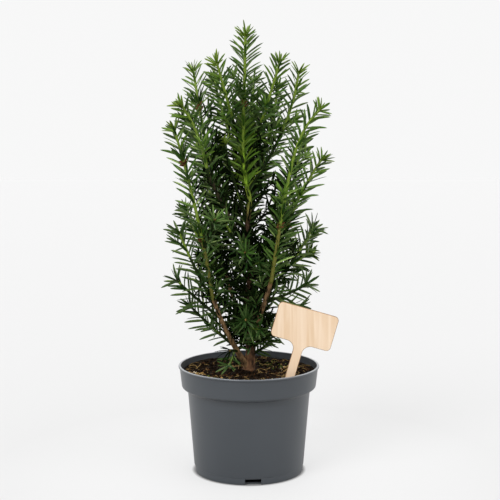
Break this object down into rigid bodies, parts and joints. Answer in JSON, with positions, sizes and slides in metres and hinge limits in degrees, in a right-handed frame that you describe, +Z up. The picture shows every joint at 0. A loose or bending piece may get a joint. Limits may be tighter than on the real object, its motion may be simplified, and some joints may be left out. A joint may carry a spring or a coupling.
{
  "type": "potted hybrid yew",
  "caption": "Young upright hybrid yew with needled shoots on a short trunk and rising boughs, in a round tapered nursery pot filled with soil, with a blank wooden plant label.",
  "frame": {"origin": "centre of the pot's flat underside", "axes": "+Z up along the trunk; -Y towards the viewer of the picture; +X to the viewer's right"},
  "size_m": [0.2058, 0.1729, 0.538],
  "materials": {
    "pot_plastic": "satin anthracite moulded plastic",
    "soil": "dark peat with bark chips",
    "label_wood": "pale raw plywood with browned edges",
    "bark": "rough brown bark",
    "foliage": "semi-gloss dark green needles"
  },
  "bodies": {
    "root": {"pot": "pot_plastic", "soil": "soil", "plant_label": "label_wood", "trunk": "bark", "bough_left": "bark", "bough_right": "bark", "bough_upper_left": "bark", "bough_back_left": "bark", "bough_back_right": "bark", "bough_upper_back": "bark", "leader": "foliage", "top_left": "foliage", "top_right": "foliage", "high_left": "foliage", "high_right": "foliage", "high_back_left": "foliage", "high_back_right": "foliage", "high_back": "foliage", "side_left": "foliage", "front_left": "foliage", "front_right": "foliage", "side_right": "foliage", "low_right": "foliage", "skirt_right": "foliage", "side_left_low": "foliage", "star_left": "foliage", "star_small": "foliage", "skirt_left": "foliage", "foot_left": "foliage", "tuft_left": "foliage", "rosette_low": "foliage", "rosette_high": "foliage", "tuft_right": "foliage", "inner_left": "foliage", "back_left": "foliage", "back_left_side": "foliage", "back_left_low": "foliage", "back_right": "foliage", "back_right_side": "foliage", "back_right_low": "foliage", "back": "foliage", "back_upper_left": "foliage", "foot_back": "foliage"}
  },
  "joints": []
}
